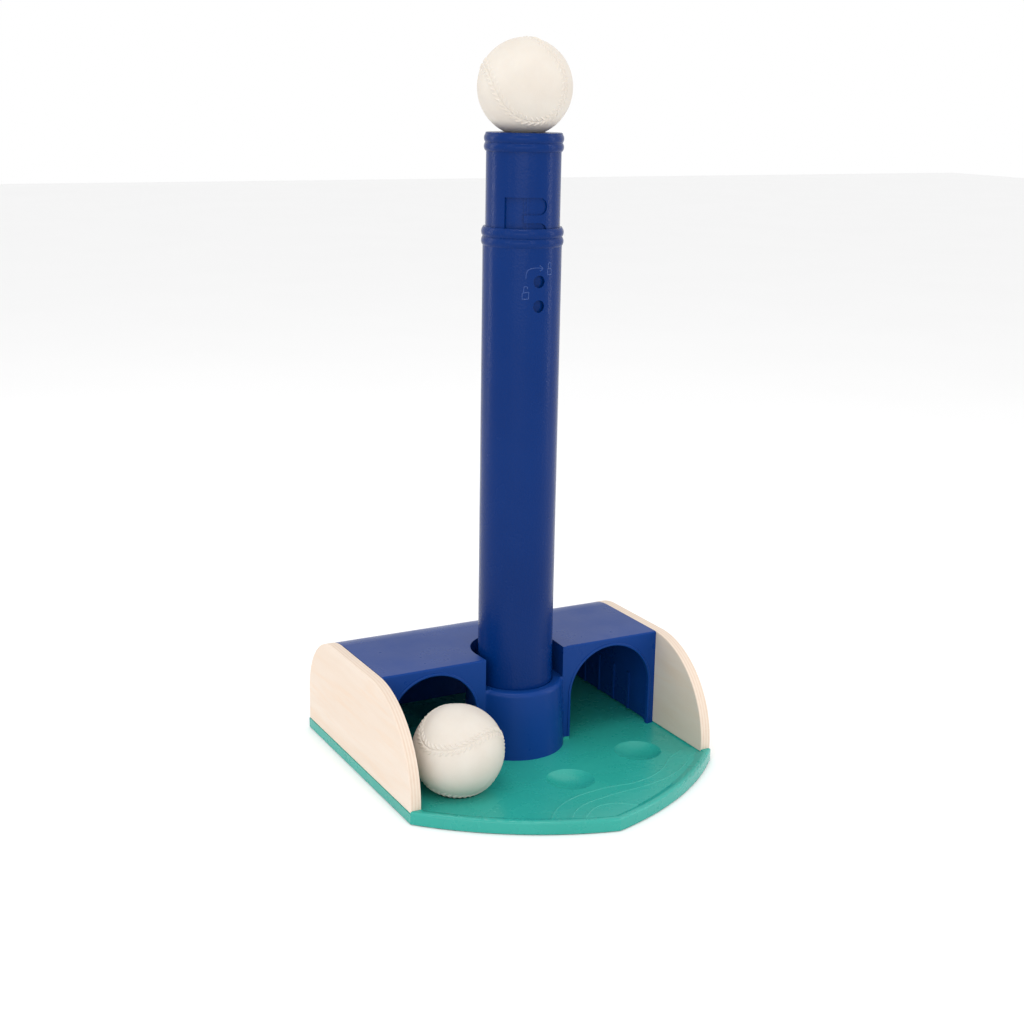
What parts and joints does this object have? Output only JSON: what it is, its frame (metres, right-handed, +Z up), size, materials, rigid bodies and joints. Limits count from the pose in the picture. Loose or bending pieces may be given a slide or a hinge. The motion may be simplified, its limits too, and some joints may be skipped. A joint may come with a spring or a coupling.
{
  "type": "batting tee",
  "caption": "Toy batting tee with a home-plate tray, plywood sides, an arched bridge that sockets a mast, a twist-lock height riser, and balls that rest in dished seats.",
  "frame": {"origin": "on the axis of the mast tube, at the ground, which is the underside of the centre foot", "axes": "+X to the right seen from the batter's side, +Y towards the back of the tray, +Z up along the mast"},
  "size_m": [0.277, 0.293, 0.5827],
  "materials": {
    "tray_plastic": "fine-textured moulded plastic, sea green",
    "bridge_plastic": "fine-textured moulded plastic, deep blue",
    "tube_plastic": "pebbled moulded plastic, deep blue, low sheen",
    "hidden_plastic": "plain moulded plastic, dark blue",
    "plywood": "clear-sealed birch plywood with its plies showing on the edges",
    "ball_foam": "soft moulded cream polyurethane with raised seams",
    "foot_rubber": "matt black rubber",
    "screw_steel": "zinc-plated steel"
  },
  "bodies": {
    "base": {"base_tray": "tray_plastic", "side_panel_left": "plywood", "side_panel_right": "plywood", "bridge_shell": "bridge_plastic", "foot_centre": "foot_rubber", "foot_front": "foot_rubber", "foot_front_left": "foot_rubber", "foot_front_right": "foot_rubber", "foot_back_left": "foot_rubber", "foot_back_right": "foot_rubber", "bridge_screws": "screw_steel", "panel_screws_left": "screw_steel", "panel_screws_right": "screw_steel", "end_wall_screws_left": "screw_steel", "end_wall_screws_right": "screw_steel"},
    "mast": {"outer_tube": "tube_plastic", "tube_end_plug": "hidden_plastic"},
    "glide": {"glide_ring": "hidden_plastic"},
    "riser": {"riser_tube": "tube_plastic", "ball_seat": "tube_plastic"},
    "top_ball": {"ball_on_tee": "ball_foam"},
    "low_ball": {"tray_ball": "ball_foam"}
  },
  "joints": [
    {"name": "mast_pull_out", "type": "slide", "parent": "base", "child": "mast", "axis": [0, 0, 1], "range_m": [0, 0.1]},
    {"name": "riser_lift", "type": "slide", "parent": "mast", "child": "glide", "axis": [0, 0, 1], "range_m": [-0.057, 0.076]},
    {"name": "riser_twist", "type": "hinge", "parent": "glide", "child": "riser", "pos_m": [0, 0, 0.4], "axis": [0, 0, 1], "range_deg": [-40, 0]},
    {"name": "top_ball_lift", "type": "slide", "parent": "riser", "child": "top_ball", "axis": [0, 0, 1], "range_m": [0, 0.1]},
    {"name": "low_ball_lift", "type": "slide", "parent": "base", "child": "low_ball", "axis": [0, 0, 1], "range_m": [0, 0.1]}
  ]
}
